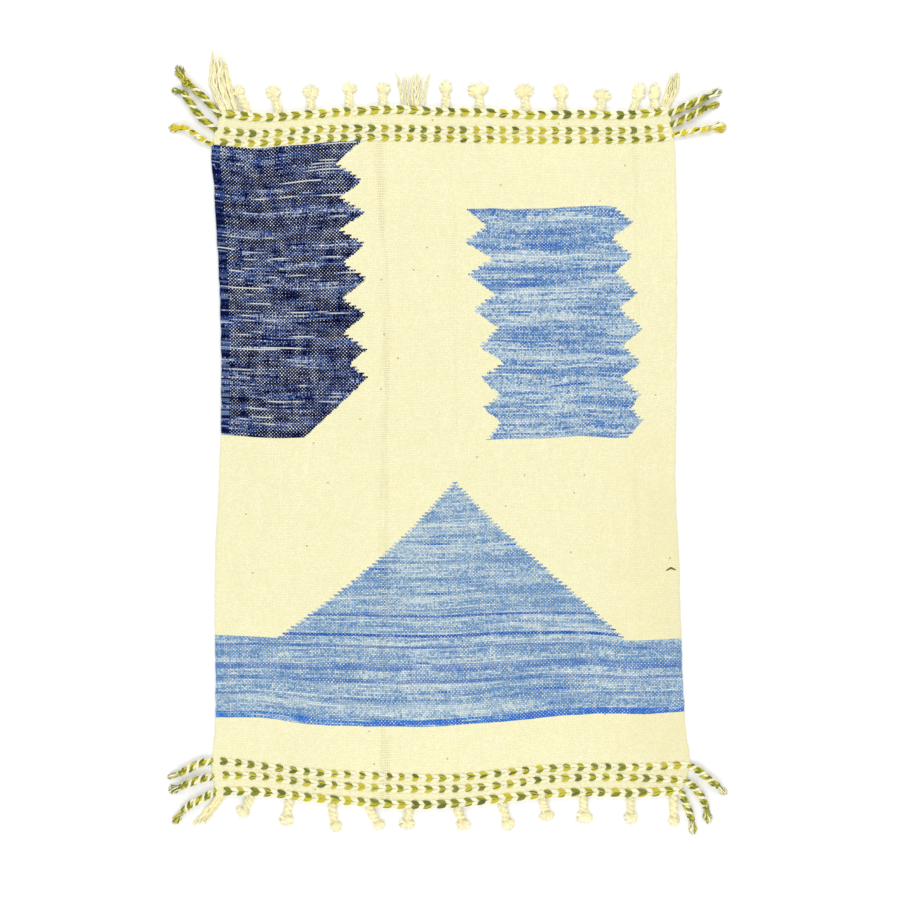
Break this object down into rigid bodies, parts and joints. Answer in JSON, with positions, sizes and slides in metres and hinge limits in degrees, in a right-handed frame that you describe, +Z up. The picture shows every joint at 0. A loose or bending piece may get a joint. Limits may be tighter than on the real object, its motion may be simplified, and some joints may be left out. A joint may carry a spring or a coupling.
{
  "type": "flat-woven rug",
  "caption": "Small flat-woven kilim lying flat, with twined rows across both ends, knotted warp tassels and plied yarn tails at the corners.",
  "frame": {"origin": "centre of the whole outline in plan, on the floor under the rug", "axes": "+Y along the length, towards the end with the dark block; +X along the width, to the right seen from above; +Z up"},
  "size_m": [0.7183, 1.0041, 0.0097],
  "materials": {
    "kilim_cloth": "flat-woven wool, cream with navy and light blue blocks",
    "twining_yarn": "olive, mustard and cream yarn, twined and plied",
    "yellow_tail_yarn": "bright yellow yarn, plied",
    "warp_yarn": "cream warp yarn, twisted and frayed"
  },
  "bodies": {
    "root": {"kilim_cloth": "kilim_cloth", "lock_bottom_left": "warp_yarn", "lock_top_left": "warp_yarn", "lock_top_middle": "warp_yarn", "lock_top_right": "warp_yarn", "tail_bottom_left_inner": "twining_yarn", "tail_bottom_left_middle": "twining_yarn", "tail_bottom_left_outer": "twining_yarn", "tail_bottom_right_inner": "twining_yarn", "tail_bottom_right_middle": "twining_yarn", "tail_bottom_right_outer": "twining_yarn", "tail_top_left_inner": "yellow_tail_yarn", "tail_top_left_middle": "twining_yarn", "tail_top_left_outer": "twining_yarn", "tail_top_right_inner": "yellow_tail_yarn", "tail_top_right_middle": "twining_yarn", "tail_top_right_outer": "twining_yarn", "tassel_bottom_01": "warp_yarn", "tassel_bottom_02": "warp_yarn", "tassel_bottom_03": "warp_yarn", "tassel_bottom_04": "warp_yarn", "tassel_bottom_05": "warp_yarn", "tassel_bottom_06": "warp_yarn", "tassel_bottom_07": "warp_yarn", "tassel_bottom_08": "warp_yarn", "tassel_bottom_09": "warp_yarn", "tassel_bottom_10": "warp_yarn", "tassel_bottom_11": "warp_yarn", "tassel_top_01": "warp_yarn", "tassel_top_02": "warp_yarn", "tassel_top_03": "warp_yarn", "tassel_top_04": "warp_yarn", "tassel_top_05": "warp_yarn", "tassel_top_06": "warp_yarn", "tassel_top_07": "warp_yarn", "tassel_top_08": "warp_yarn", "tassel_top_09": "warp_yarn", "tassel_top_10": "warp_yarn", "tassel_top_11": "warp_yarn", "tassel_top_12": "warp_yarn", "twined_row_bottom_inner": "twining_yarn", "twined_row_bottom_middle": "twining_yarn", "twined_row_bottom_outer": "twining_yarn", "twined_row_top_inner": "twining_yarn", "twined_row_top_middle": "twining_yarn", "twined_row_top_outer": "twining_yarn"}
  },
  "joints": []
}
